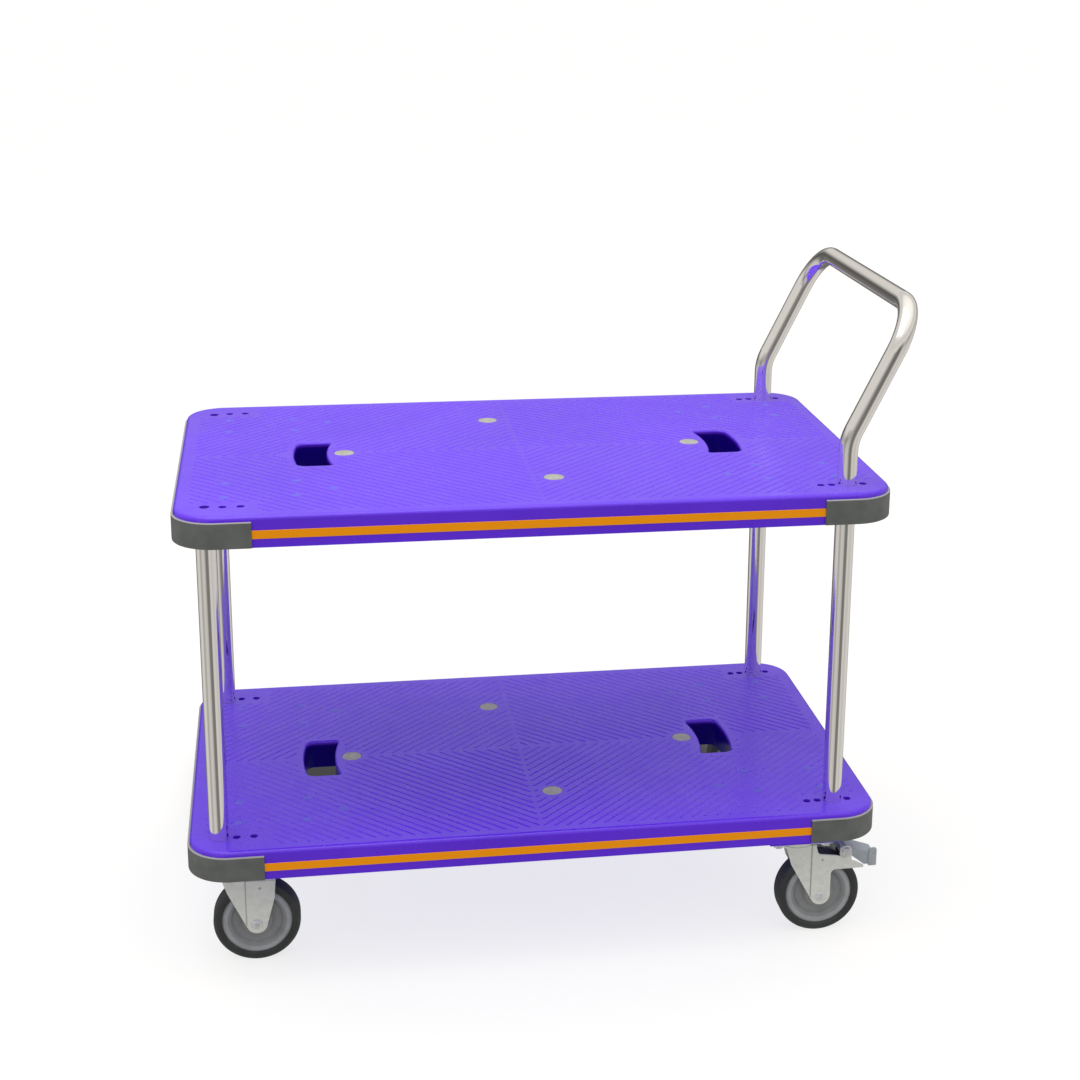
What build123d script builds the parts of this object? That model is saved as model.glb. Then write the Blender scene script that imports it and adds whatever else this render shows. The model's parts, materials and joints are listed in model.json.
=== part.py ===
"""Two-deck platform trolley: moulded plastic decks, tube posts, a bent push handle and four casters.

Millimetres, +Z up. The origin is on the floor under the middle of the overall length and width.
+X is the handle end, where the swivel casters are. "near" is the -Y side and "far" is the +Y side.
"""

import os
from math import atan2, cos, degrees, radians, sin

from build123d import *

os.makedirs("parts", exist_ok=True)

# Decks
DECK_LENGTH = 1000.0  # over the end bumpers
DECK_WIDTH = 600.0
DECK_CORNER = 60.0
DECK_THICK = 44.0
UPPER_TOP = 700.0
LOWER_TOP = 213.0
SKIN = 5.0  # top plate
WALL = 5.0  # outer rim
TOP_ROUND = 6.0
RIB = 3.0
RIB_PITCH_X = 80.0
RIB_PITCH_Y = 98.0
RIB_LIFT = 3.0  # ribs end this far above the rim's lower edge

# Bumpers and the side groove they share with the coloured strips
BUMPER_THICK = 3.0
BUMPER_HEIGHT = 36.5
BUMPER_REACH = 107.0  # from the deck's end along its side
GROOVE_HEIGHT = 12.0
GROOVE_DEPTH = 3.0
GROOVE_PLAY = 0.2
STRIPE_PROUD = 0.8

# Hand holes, one near each end
HOLE_INNER_MID = 286.0
HOLE_INNER_TIP = 278.0
HOLE_OUTER_MID = 333.0
HOLE_OUTER_TIP = 327.0
HOLE_HALF = 62.0
HOLE_INNER_ROUND = 4.0
HOLE_OUTER_ROUND = 14.0
HOLE_LIP = 4.0  # rounding of its upper edge
HOLE_RIM = 4.0  # thickness of its wall

# Round plugs
PLUG_R = 15.0
PLUG_DEEP = 4.0
PLUG_STEM_R = 8.0
PLUG_STEM = 14.0
PLUG_SPOTS = [(-260, 0), (260, 0), (30, -163), (-30, 163)]

# Tubes
TUBE_R = 14.0
TUBE_WALL = 1.5
TUBE_Y = 247.0
POST_X = -455.0
LEG_X = 436.0
BEND_Z = 763.0  # where the handle starts to lean out
BAR_X = 527.0
BAR_Z = 948.0
BEND_R = 70.0
BAR_BEND_R = 66.0
SOCKET_DEEP = 30.0
SOCKET_R = TUBE_R + 0.2
SOCKET_BOSS_R = 22.0
PASS_BOSS_R = 32.0
CROSS_BOLT_UP = 14.0  # above the foot of a tube
CROSS_BOLT_R = 3.0
CROSS_BOLT_HEAD = 4.0
CROSS_HEAD_R = 5.0
CROSS_NUT = 5.0
CROSS_NUT_HALF = 5.0  # half the width over flats
FLANGE_SCREW_RING = 24.0

# Small blind holes beside each tube
WELL_R = 5.5
WELL_DEEP = 25.0
WELL_STEP = 24.0
WELL_NEAR_LEG = 22.7

# Casters
AXLE_Z = 62.5
WHEEL_R = 62.5
TYRE_HALF = 15.5
HUB_R = 50.0
FORK_INNER = 20.5  # half the gap between the fork's legs
SHEET = 2.5
PLATE_TOP = 164.0
PLATE_THICK = 3.5
FIXED_X = -408.0
FIXED_Y = 205.0
FIXED_PLATE_X = -14.0  # plate centre from the axle
FIXED_PLATE = (94.0, 84.0)
FIXED_BOLTS = (72.0, 66.0)
SWIVEL_AXLE_X = 421.0
SWIVEL_TRAIL = 35.0
SWIVEL_Y = 239.0
SWIVEL_PLATE = (95.0, 95.0)
SWIVEL_BOLTS = (72.0, 72.0)
CASTER_BOLT_R = 4.0
CASTER_BOLT_TOP = 180.0
CASTER_HEAD = 5.3
CASTER_HEAD_HALF = 6.5  # half the width over flats
WASHER = 1.2
WASHER_R = 8.0
CASTER_BOSS_R = 7.8
CROWN_TOP = 145.0
RACE_BALL_R = 2.5
RACE_BALL_RING = 20.0
RACE_BALLS = 20
KINGPIN_R = 6.0

# Axles and brake
CREASE = -15.0  # fold between a fork's leg and its wing, from the axle
WING_STEP = 1.2  # the wing is this far inside the leg's face
WING_TURN = 8.0
MARK_R = 2.6  # round press mark on each leg
MARK_DEEP = 0.9
AXLE_R = 4.0
SLEEVE_R = 8.0
BEARING_R = 15.0
BEARING_WIDE = 8.0
RUNNING = 0.05  # radial clearance of a turning fit
PIVOT_DX = 38.0  # brake pivot from the wheel's axle
PIVOT_DZ = 68.5
PIVOT_R = 4.0
SHOE_TIP = 15.3
SHOE_ANGLE = 20.0  # pedal travel
PEDAL_HALF = 15.0
PEDAL_SHEET = 2.0
PEDAL_TAB = 2.0  # the outer tab stands this far outside its cheek
PEDAL_EYE = 8.0
# outlines in X and Z from the pivot
PEDAL_CHEEK = [(-2, 7.7), (14, -1), (45, -11.5), (45, -26), (30, -26), (7, -8)]
PEDAL_WEB = [(-2, 7.7), (14, -1), (45, -11.5), (45.7, -9.6), (14.7, 1), (-1, 9.5)]
PEDAL_END = [(43, -11), (45, -11), (45, -26), (43, -26)]
PEDAL_PAD_TOP = (48.5, 1.3)
PEDAL_PAD_LOW = (48.5, -28)
PEDAL_PAD = [(37, 0), PEDAL_PAD_TOP, PEDAL_PAD_LOW, (36.5, -28)]
# outlines under the pivot, before they are turned towards the wheel
PEDAL_LOBE = [(-4.5, 0), (4.5, 0), (4.5, -12), (-4.5, -12)]
PEDAL_BRIDGE = [(-4.5, -6.2), (4.5, -6.2), (4.5, -8.2), (-4.5, -8.2)]
PEDAL_BLOCK = [(-4.2, -8.3), (4.2, -8.3), (4.2, -17), (-4.2, -17)]

DECK_X = -(BAR_X + TUBE_R - DECK_LENGTH / 2) / 2  # centres the overall length on the origin
SKIN_LENGTH = DECK_LENGTH - 2 * BUMPER_THICK
SKIN_WIDTH = DECK_WIDTH - 2 * BUMPER_THICK
SKIN_CORNER = DECK_CORNER - BUMPER_THICK
LOWER_UNDER = LOWER_TOP - DECK_THICK
UPPER_UNDER = UPPER_TOP - DECK_THICK
TUBE_FOOT = LOWER_TOP - SOCKET_DEEP
POST_HEAD = UPPER_UNDER + SOCKET_DEEP
CROSS_BOLT_Z = TUBE_FOOT + CROSS_BOLT_UP
SIDES = {"near": -1, "far": 1}


def level(z, x=0.0, y=0.0):
    """A horizontal plane with its origin at x, y from the deck's centre."""
    return Plane(origin=(DECK_X + x, y, z))


def facing_near(x, y, z):
    """An upright plane facing -Y: local x is +X and local y is +Z."""
    return Plane(origin=(DECK_X + x, y, z), x_dir=(1, 0, 0), z_dir=(0, -1, 0))


def along_axle(x, y, z=AXLE_Z):
    """A plane whose local x runs along Y and local y is +Z, for turned shapes."""
    return Plane(origin=(DECK_X + x, y, z), x_dir=(0, 1, 0), z_dir=(1, 0, 0))


def axle_axis(x, y, z=AXLE_Z):
    return Axis((DECK_X + x, y, z), (0, 1, 0))


def save(piece, label):
    piece.part.label = label
    export_step(piece.part, f"parts/{label}.step")


def on_outline(edge, half_length, half_width, corner):
    """True for an edge that lies on a rounded rectangle round the deck's centre."""
    middle = edge.position_at(0.5)
    if edge.geom_type == GeomType.CIRCLE:
        return abs(edge.radius - corner) < 0.05
    on_end = abs(abs(middle.X - DECK_X) - half_length) < 0.05
    on_side = abs(abs(middle.Y) - half_width) < 0.05
    return on_end or on_side


# ---------------------------------------------------------------- decks


def hand_hole(end, grow=0.0):
    """Sketch face of a kidney-shaped hand hole; its inner edge bulges into the hole."""
    inner = [(end * HOLE_INNER_TIP, s * HOLE_HALF) for s in (-1, 1)]
    outer = [(end * HOLE_OUTER_TIP, s * HOLE_HALF) for s in (-1, 1)]
    half_way = (HOLE_INNER_MID + HOLE_OUTER_MID) / 2
    with BuildSketch(mode=Mode.PRIVATE) as hole:
        with BuildLine():
            ThreePointArc(inner[0], (end * HOLE_INNER_MID, 0), inner[1])
            Line(inner[1], outer[1])
            ThreePointArc(outer[1], (end * HOLE_OUTER_MID, 0), outer[0])
            Line(outer[0], inner[0])
        make_face()
        fillet(hole.vertices().filter_by(lambda v: abs(v.X) < half_way), HOLE_INNER_ROUND)
        fillet(hole.vertices().filter_by(lambda v: abs(v.X) > half_way), HOLE_OUTER_ROUND)
        if grow:
            offset(amount=grow)
    return hole.sketch


def well_spots():
    """Centres of the small blind holes, in a row beside each post or leg."""
    spots = []
    for side in SIDES.values():
        spots += [(POST_X + n * WELL_STEP, side * (TUBE_Y + 3)) for n in (1, 2)]
        spots += [(LEG_X + dx, side * (TUBE_Y + 3)) for dx in (-38.5, -WELL_NEAR_LEG, WELL_NEAR_LEG)]
    return spots


def is_hole_lip(edge, top):
    """True for an edge of a hand hole that lies in the deck's top face."""
    middle = edge.position_at(0.5)
    on_top = abs(middle.Z - top) < 0.01
    beside = HOLE_INNER_TIP - 1 < abs(middle.X - DECK_X) < HOLE_OUTER_MID + 1
    return on_top and beside and abs(middle.Y) < HOLE_HALF + 1


def bolt_spots(spot, spacing):
    return [(spot[0] + a * spacing[0] / 2, spot[1] + b * spacing[1] / 2) for a in (-1, 1) for b in (-1, 1)]


def caster_spots():
    """Plate centre, plate size and bolt spacing of each caster."""
    fixed = [((FIXED_X + FIXED_PLATE_X, s * FIXED_Y), FIXED_PLATE, FIXED_BOLTS) for s in SIDES.values()]
    swivel_x = SWIVEL_AXLE_X - SWIVEL_TRAIL
    swivel = [((swivel_x, s * SWIVEL_Y), SWIVEL_PLATE, SWIVEL_BOLTS) for s in SIDES.values()]
    return fixed + swivel


def tube_spots():
    posts = [(POST_X, s * TUBE_Y) for s in SIDES.values()]
    legs = [(LEG_X, s * TUBE_Y) for s in SIDES.values()]
    return posts, legs


def build_deck(top, lower):
    under = top - DECK_THICK
    posts, legs = tube_spots()
    with BuildPart() as deck:
        with BuildSketch(level(under)):
            RectangleRounded(SKIN_LENGTH, SKIN_WIDTH, SKIN_CORNER)
        extrude(amount=DECK_THICK)
        fillet(deck.faces().sort_by(Axis.Z)[-1].edges(), TOP_ROUND)
        with BuildSketch(level(under)):
            RectangleRounded(SKIN_LENGTH - 2 * WALL, SKIN_WIDTH - 2 * WALL, SKIN_CORNER - WALL)
        extrude(amount=DECK_THICK - SKIN, mode=Mode.SUBTRACT)

        # ribs across and along the underside
        with BuildSketch(level(under + RIB_LIFT)):
            across = int(SKIN_LENGTH / 2 / RIB_PITCH_X)
            for n in range(-across, across + 1):
                with Locations((n * RIB_PITCH_X, 0)):
                    Rectangle(RIB, SKIN_WIDTH - WALL)
            along = int(SKIN_WIDTH / 2 / RIB_PITCH_Y - 0.3)
            for n in range(-along, along + 1):
                with Locations((0, n * RIB_PITCH_Y)):
                    Rectangle(SKIN_LENGTH - WALL, RIB)
            RectangleRounded(SKIN_LENGTH - WALL, SKIN_WIDTH - WALL, SKIN_CORNER, mode=Mode.INTERSECT)
        extrude(amount=DECK_THICK - SKIN - RIB_LIFT)

        # bosses round the tubes, wells and plugs, and the walls of the hand holes
        with BuildSketch(level(under)):
            for spot in posts + legs:
                with Locations(spot):
                    Circle(SOCKET_BOSS_R)
            if not lower:
                with Locations(*legs):
                    Circle(PASS_BOSS_R)
            for end in (-1, 1):
                add(hand_hole(end, HOLE_RIM))
        extrude(amount=DECK_THICK - SKIN)
        with BuildSketch(level(top - WELL_DEEP - SKIN)):
            with Locations(*well_spots()):
                Circle(WELL_R + RIB)
            with Locations(*PLUG_SPOTS):
                Circle(PLUG_R + RIB)
        extrude(amount=WELL_DEEP)

        # caster pads under the lower deck, each with four bolt bosses
        if lower:
            for spot, size, bolts in caster_spots():
                with BuildSketch(level(PLATE_TOP)):
                    with Locations(spot):
                        Rectangle(size[0] + 10, size[1] + 10)
                    RectangleRounded(SKIN_LENGTH - 2, SKIN_WIDTH - 2, SKIN_CORNER, mode=Mode.INTERSECT)
                extrude(amount=LOWER_UNDER - PLATE_TOP + WALL)
                with BuildSketch(level(LOWER_UNDER)):
                    with Locations(spot):
                        with GridLocations(bolts[0], bolts[1], 2, 2):
                            Circle(CASTER_BOSS_R)
                    RectangleRounded(SKIN_LENGTH - 2, SKIN_WIDTH - 2, SKIN_CORNER, mode=Mode.INTERSECT)
                extrude(amount=DECK_THICK - SKIN)
                with BuildSketch(level(PLATE_TOP)):
                    with Locations(spot):
                        with GridLocations(bolts[0], bolts[1], 2, 2):
                            Circle(CASTER_BOLT_R + 0.1)
                extrude(amount=CASTER_BOLT_TOP + 1 - PLATE_TOP, mode=Mode.SUBTRACT)

        # groove round the rim
        groove_low = under + (BUMPER_HEIGHT - GROOVE_HEIGHT) / 2
        with BuildSketch(level(groove_low)):
            RectangleRounded(SKIN_LENGTH + 2, SKIN_WIDTH + 2, SKIN_CORNER + 1)
            RectangleRounded(
                SKIN_LENGTH - 2 * GROOVE_DEPTH,
                SKIN_WIDTH - 2 * GROOVE_DEPTH,
                SKIN_CORNER - GROOVE_DEPTH,
                mode=Mode.SUBTRACT,
            )
        extrude(amount=GROOVE_HEIGHT, mode=Mode.SUBTRACT)

        # hand holes
        with BuildSketch(level(under - 10)):
            for end in (-1, 1):
                add(hand_hole(end))
        extrude(amount=DECK_THICK + 20, mode=Mode.SUBTRACT)
        fillet(deck.edges().filter_by(lambda e: is_hole_lip(e, top)), HOLE_LIP)

        # plug seats and stem holes, blind wells
        with BuildSketch(level(top)):
            with Locations(*PLUG_SPOTS):
                Circle(PLUG_R)
        extrude(amount=-PLUG_DEEP, mode=Mode.SUBTRACT)
        with BuildSketch(level(top)):
            with Locations(*PLUG_SPOTS):
                Circle(PLUG_STEM_R + 0.1)
        extrude(amount=-PLUG_DEEP - PLUG_STEM, mode=Mode.SUBTRACT)
        with BuildSketch(level(top)):
            with Locations(*well_spots()):
                Circle(WELL_R)
        extrude(amount=-WELL_DEEP, mode=Mode.SUBTRACT)

        # tube sockets
        if lower:
            with BuildSketch(level(top)):
                with Locations(*posts, *legs):
                    Circle(SOCKET_R)
            extrude(amount=-SOCKET_DEEP, mode=Mode.SUBTRACT)
            for x, y in posts + legs:
                with BuildSketch(facing_near(x, y + SOCKET_BOSS_R + 1, CROSS_BOLT_Z)):
                    Circle(3.2)
                extrude(amount=2 * SOCKET_BOSS_R + 2, mode=Mode.SUBTRACT)
        else:
            with BuildSketch(level(under)):
                with Locations(*posts):
                    Circle(SOCKET_R)
            extrude(amount=SOCKET_DEEP, mode=Mode.SUBTRACT)
            with BuildSketch(level(under)):
                with Locations(*posts):
                    Circle(4.3)
                with Locations(*legs):
                    Circle(SOCKET_R)
            extrude(amount=DECK_THICK, mode=Mode.SUBTRACT)
            with BuildSketch(level(top)):
                with Locations(*posts):
                    Circle(6.9)
            extrude(amount=-10, mode=Mode.SUBTRACT)
            with BuildSketch(level(under)):
                for spot in legs:
                    with Locations(spot):
                        with PolarLocations(FLANGE_SCREW_RING, 3, start_angle=90):
                            Circle(2.5)
            extrude(amount=17, mode=Mode.SUBTRACT)
    return deck


upper_deck = build_deck(UPPER_TOP, lower=False)
save(upper_deck, "upper_deck")
lower_deck = build_deck(LOWER_TOP, lower=True)
save(lower_deck, "lower_deck")


def build_bumper(under, end):
    """A band round one end of a deck, with a tongue that sits in the deck's groove."""
    keep_from = DECK_LENGTH / 2 - BUMPER_REACH
    cut = 2 * DECK_LENGTH
    tongue = GROOVE_HEIGHT - 2 * GROOVE_PLAY
    tongue_depth = GROOVE_DEPTH - GROOVE_PLAY
    with BuildPart() as bumper:
        with BuildSketch(level(under)):
            RectangleRounded(DECK_LENGTH, DECK_WIDTH, DECK_CORNER)
            RectangleRounded(SKIN_LENGTH + 0.2, SKIN_WIDTH + 0.2, SKIN_CORNER + 0.1, mode=Mode.SUBTRACT)
            with Locations((end * (keep_from - cut / 2), 0)):
                Rectangle(cut, DECK_WIDTH + 10, mode=Mode.SUBTRACT)
        extrude(amount=BUMPER_HEIGHT)
        rim = bumper.edges().filter_by(
            lambda e: e.bounding_box().size.Z < 0.01
            and on_outline(e, DECK_LENGTH / 2, DECK_WIDTH / 2, DECK_CORNER)
        )
        fillet(rim, 1.2)
        with BuildSketch(level(under + (BUMPER_HEIGHT - tongue) / 2)):
            RectangleRounded(DECK_LENGTH - 1, DECK_WIDTH - 1, DECK_CORNER - 0.5)
            RectangleRounded(
                SKIN_LENGTH - 2 * tongue_depth,
                SKIN_WIDTH - 2 * tongue_depth,
                SKIN_CORNER - tongue_depth,
                mode=Mode.SUBTRACT,
            )
            with Locations((end * (keep_from - cut / 2), 0)):
                Rectangle(cut, DECK_WIDTH + 10, mode=Mode.SUBTRACT)
        extrude(amount=tongue)
    return bumper


def build_stripes(under):
    """Two strips pressed into the side grooves, between the bumpers."""
    length = DECK_LENGTH - 2 * BUMPER_REACH - 0.4
    depth = GROOVE_DEPTH - GROOVE_PLAY + STRIPE_PROUD
    height = GROOVE_HEIGHT - 0.1
    middle = under + BUMPER_HEIGHT / 2
    with BuildPart() as stripes:
        for side in SIDES.values():
            y = side * (SKIN_WIDTH / 2 + STRIPE_PROUD - depth / 2)
            with BuildSketch(level(middle - height / 2, 0, y)):
                Rectangle(length, depth)
            extrude(amount=height)
        fillet(stripes.faces().filter_by(Axis.Y).sort_by(Axis.Y)[0].edges().filter_by(Axis.X), 0.6)
        fillet(stripes.faces().filter_by(Axis.Y).sort_by(Axis.Y)[-1].edges().filter_by(Axis.X), 0.6)
    return stripes


def build_plugs(top):
    with BuildPart() as plugs:
        with BuildSketch(level(top - PLUG_DEEP)):
            with Locations(*PLUG_SPOTS):
                Circle(PLUG_R - 0.2)
        extrude(amount=PLUG_DEEP)
        chamfer(plugs.faces().filter_by(Axis.Z).group_by(Axis.Z)[-1].edges(), 0.5)
        with BuildSketch(level(top - PLUG_DEEP - PLUG_STEM + 1)):
            with Locations(*PLUG_SPOTS):
                Circle(PLUG_STEM_R)
                Circle(PLUG_STEM_R - 2, mode=Mode.SUBTRACT)
        extrude(amount=PLUG_STEM - 1)
    return plugs


for deck_name, deck_top in {"upper": UPPER_TOP, "lower": LOWER_TOP}.items():
    deck_under = deck_top - DECK_THICK
    for end_name, end in {"front": -1, "rear": 1}.items():
        bumper = build_bumper(deck_under, end)
        save(bumper, f"{deck_name}_{end_name}_bumper")
    stripes = build_stripes(deck_under)
    save(stripes, f"{deck_name}_side_stripes")
    plugs = build_plugs(deck_top)
    save(plugs, f"{deck_name}_deck_plugs")


# ---------------------------------------------------------------- tubes


def cross_hole(x, y):
    """Cuts the cross bolt's hole through a tube in the part being built."""
    with BuildSketch(facing_near(x, y + 2 * TUBE_R, CROSS_BOLT_Z)) as hole:
        Circle(3.2)
    extrude(hole.sketch, amount=4 * TUBE_R, mode=Mode.SUBTRACT)


bends = [
    (LEG_X, -TUBE_Y, TUBE_FOOT),
    (LEG_X, -TUBE_Y, BEND_Z),
    (BAR_X, -TUBE_Y, BAR_Z),
    (BAR_X, TUBE_Y, BAR_Z),
    (LEG_X, TUBE_Y, BEND_Z),
    (LEG_X, TUBE_Y, TUBE_FOOT),
]
with BuildPart() as handle_frame:
    with BuildLine() as handle_path:
        FilletPolyline(
            *[(DECK_X + x, y, z) for x, y, z in bends],
            radius=[BEND_R, BAR_BEND_R, BAR_BEND_R, BEND_R],
        )
    with BuildSketch(level(TUBE_FOOT, LEG_X, -TUBE_Y)):
        Circle(TUBE_R)
        Circle(TUBE_R - TUBE_WALL, mode=Mode.SUBTRACT)
    sweep(path=handle_path.wires()[0])
    for side in SIDES.values():
        cross_hole(LEG_X, side * TUBE_Y)
save(handle_frame, "handle_frame")

for side_name, side in SIDES.items():
    with BuildPart() as post:
        with BuildSketch(level(TUBE_FOOT, POST_X, side * TUBE_Y)):
            Circle(TUBE_R)
            Circle(TUBE_R - TUBE_WALL, mode=Mode.SUBTRACT)
        extrude(amount=POST_HEAD - TUBE_FOOT)
        cross_hole(POST_X, side * TUBE_Y)
    save(post, f"front_{side_name}_post")

post_spots, leg_spots = tube_spots()

with BuildPart() as post_inserts:
    with BuildSketch(level(POST_HEAD - 26)):
        with Locations(*post_spots):
            Circle(TUBE_R - TUBE_WALL - 0.1)
            Circle(4.1, mode=Mode.SUBTRACT)
    extrude(amount=26)
save(post_inserts, "post_inserts")

with BuildPart() as post_screws:
    with BuildSketch(level(POST_HEAD - 24)):
        with Locations(*post_spots):
            Circle(4.0)
    extrude(amount=24 + 4)
    with BuildSketch(level(UPPER_TOP - 10)):
        with Locations(*post_spots):
            Circle(6.5)
    extrude(amount=7)
    with BuildSketch(level(UPPER_TOP - 3)):
        with Locations(*post_spots):
            RegularPolygon(3.4, 6)
    extrude(amount=-4, mode=Mode.SUBTRACT)
save(post_screws, "post_screws")

with BuildPart() as tube_cross_bolts:
    for x, y in post_spots + leg_spots:
        inboard = -1 if y > 0 else 1
        seat = y + inboard * SOCKET_BOSS_R
        head = seat + inboard * CROSS_BOLT_HEAD
        tip = y - inboard * (SOCKET_BOSS_R + CROSS_NUT + 1)
        with BuildSketch(facing_near(x, max(head, tip), CROSS_BOLT_Z)):
            Circle(CROSS_BOLT_R)
        extrude(amount=abs(head - tip))
        with BuildSketch(facing_near(x, max(head, seat), CROSS_BOLT_Z)):
            Circle(CROSS_HEAD_R)
        extrude(amount=CROSS_BOLT_HEAD)
save(tube_cross_bolts, "tube_cross_bolts")

with BuildPart() as tube_cross_nuts:
    for x, y in post_spots + leg_spots:
        outboard = 1 if y > 0 else -1
        seat = y + outboard * SOCKET_BOSS_R
        with BuildSketch(facing_near(x, max(seat, seat + outboard * CROSS_NUT), CROSS_BOLT_Z)):
            RegularPolygon(CROSS_NUT_HALF, 6, major_radius=False)
            Circle(CROSS_BOLT_R + 0.1, mode=Mode.SUBTRACT)
        extrude(amount=CROSS_NUT)
save(tube_cross_nuts, "tube_cross_nuts")

with BuildPart() as leg_flanges:
    with BuildSketch(level(UPPER_UNDER)):
        for spot in leg_spots:
            with Locations(spot):
                Circle(31)
                with PolarLocations(FLANGE_SCREW_RING, 3, start_angle=90):
                    Circle(2.6, mode=Mode.SUBTRACT)
    extrude(amount=-3)
    with BuildSketch(level(UPPER_UNDER - 11)):
        with Locations(*leg_spots):
            Circle(17)
    extrude(amount=9)
    with BuildSketch(level(UPPER_UNDER)):
        with Locations(*leg_spots):
            Circle(TUBE_R + 0.05)
    extrude(amount=-12, mode=Mode.SUBTRACT)
save(leg_flanges, "leg_flanges")

with BuildPart() as flange_screws:
    for depth, radius, start in ((18.5, 2.4, -3), (2.6, 4.4, -5.6)):
        with BuildSketch(level(UPPER_UNDER + start)):
            for spot in leg_spots:
                with Locations(spot):
                    with PolarLocations(FLANGE_SCREW_RING, 3, start_angle=90):
                        Circle(radius)
        extrude(amount=depth)
save(flange_screws, "flange_screws")

with BuildPart() as caster_bolts:
    washer_top = PLATE_TOP - PLATE_THICK
    washer_under = washer_top - WASHER
    places = []
    for spot, _, spacing in caster_spots():
        places += bolt_spots(spot, spacing)
    with BuildSketch(level(washer_under)):
        with Locations(*places):
            Circle(CASTER_BOLT_R)
    extrude(amount=CASTER_BOLT_TOP - washer_under)
    with BuildSketch(level(washer_under)):
        with Locations(*places):
            Circle(WASHER_R)
    extrude(amount=WASHER)
    with BuildSketch(level(washer_under)):
        with Locations(*places):
            RegularPolygon(CASTER_HEAD_HALF, 6, major_radius=False)
    extrude(amount=-CASTER_HEAD)
save(caster_bolts, "caster_bolts")


# ---------------------------------------------------------------- casters


def leg_plane(x, y, leg, turn=0.0, out=0.0):
    """Upright plane on a fork leg, from which a thickness extrudes towards -Y.

    leg is -1 or 1 for the leg's side of the wheel. turn leans it so that -X runs towards the wheel.
    """
    start = y + leg * FORK_INNER + (SHEET if leg > 0 else 0.0) + leg * out
    lean = leg * radians(turn)
    return Plane(
        origin=(DECK_X + x, start, AXLE_Z),
        x_dir=(cos(lean), sin(lean), 0),
        z_dir=(sin(lean), -cos(lean), 0),
    )




def add_leg(x, y, leg, outline, rounds):
    """Adds one flat fork leg: an outline above the axle, and the round end that holds the axle."""
    with BuildSketch(leg_plane(x, y, leg)) as face:
        with BuildLine():
            Polyline(*outline, close=True)
        make_face()
        for corner, radius in rounds:
            fillet(face.vertices().sort_by_distance((corner[0], corner[1], 0))[0], radius)
        Circle(-CREASE)
    extrude(face.sketch, amount=SHEET)


def add_wing(x, y, leg, outline):
    """Adds the folded wing in front of a leg: it starts behind the crease, a little inside the leg's face."""
    with BuildSketch(leg_plane(x + CREASE, y, leg, WING_TURN, out=-WING_STEP)) as face:
        with BuildLine():
            Polyline(*[(dx - CREASE, dz) for dx, dz in outline], close=True)
        make_face()
    extrude(face.sketch, amount=SHEET)


def add_mark(x, y, leg, dx, dz):
    """Sinks a shallow round press mark into the outer face of a leg."""
    with BuildSketch(leg_plane(x, y, leg, out=SHEET - MARK_DEEP if leg < 0 else 0.0)) as face:
        with Locations((dx, dz)):
            Circle(MARK_R)
    extrude(face.sketch, amount=MARK_DEEP, mode=Mode.SUBTRACT)


def cut_through(x, y, radius, dz=0.0):
    with BuildSketch(facing_near(x, y + 2 * FORK_INNER, AXLE_Z + dz)) as hole:
        Circle(radius)
    extrude(hole.sketch, amount=4 * FORK_INNER, mode=Mode.SUBTRACT)


def build_fixed_fork(side):
    y = side * FIXED_Y
    plate_under = PLATE_TOP - PLATE_THICK - AXLE_Z
    shelf = 64.5
    right = 28.0
    step = 4.0
    outline = [(CREASE, 0), (CREASE, shelf + SHEET), (right, shelf + SHEET), (26, 40), (-CREASE, -1)]
    wing = [(CREASE + 1, -6), (CREASE + 1, plate_under + 1), (-59, plate_under + 1), (-41, 48.5)]
    with BuildPart() as fork:
        with BuildSketch(level(PLATE_TOP - PLATE_THICK, FIXED_X + FIXED_PLATE_X, y)):
            RectangleRounded(FIXED_PLATE[0], FIXED_PLATE[1], 8)
            with GridLocations(FIXED_BOLTS[0], FIXED_BOLTS[1], 2, 2):
                SlotOverall(11, 8.6, mode=Mode.SUBTRACT)
        extrude(amount=PLATE_THICK)
        for leg in (-1, 1):
            add_leg(FIXED_X, y, leg, outline, [])
            add_wing(FIXED_X, y, leg, wing)
            # shelf over the tyre's shoulder, and the set-back sheet above it
            shelf_y = y + leg * (FORK_INNER - 0.75)
            with BuildSketch(level(AXLE_Z + shelf, FIXED_X + (CREASE + right) / 2, shelf_y)):
                Rectangle(right - CREASE, step + SHEET - 1.0)
            extrude(amount=SHEET)
            with BuildSketch(leg_plane(FIXED_X, y, leg, out=-step)):
                with Locations(((CREASE + right) / 2, (shelf + plate_under) / 2 + 0.5)):
                    Rectangle(right - CREASE, plate_under - shelf + 1)
            extrude(amount=SHEET)
            add_mark(FIXED_X, y, leg, 5.5, 56)
        cut_through(FIXED_X, y, AXLE_R + 0.15)
    return fork


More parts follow.
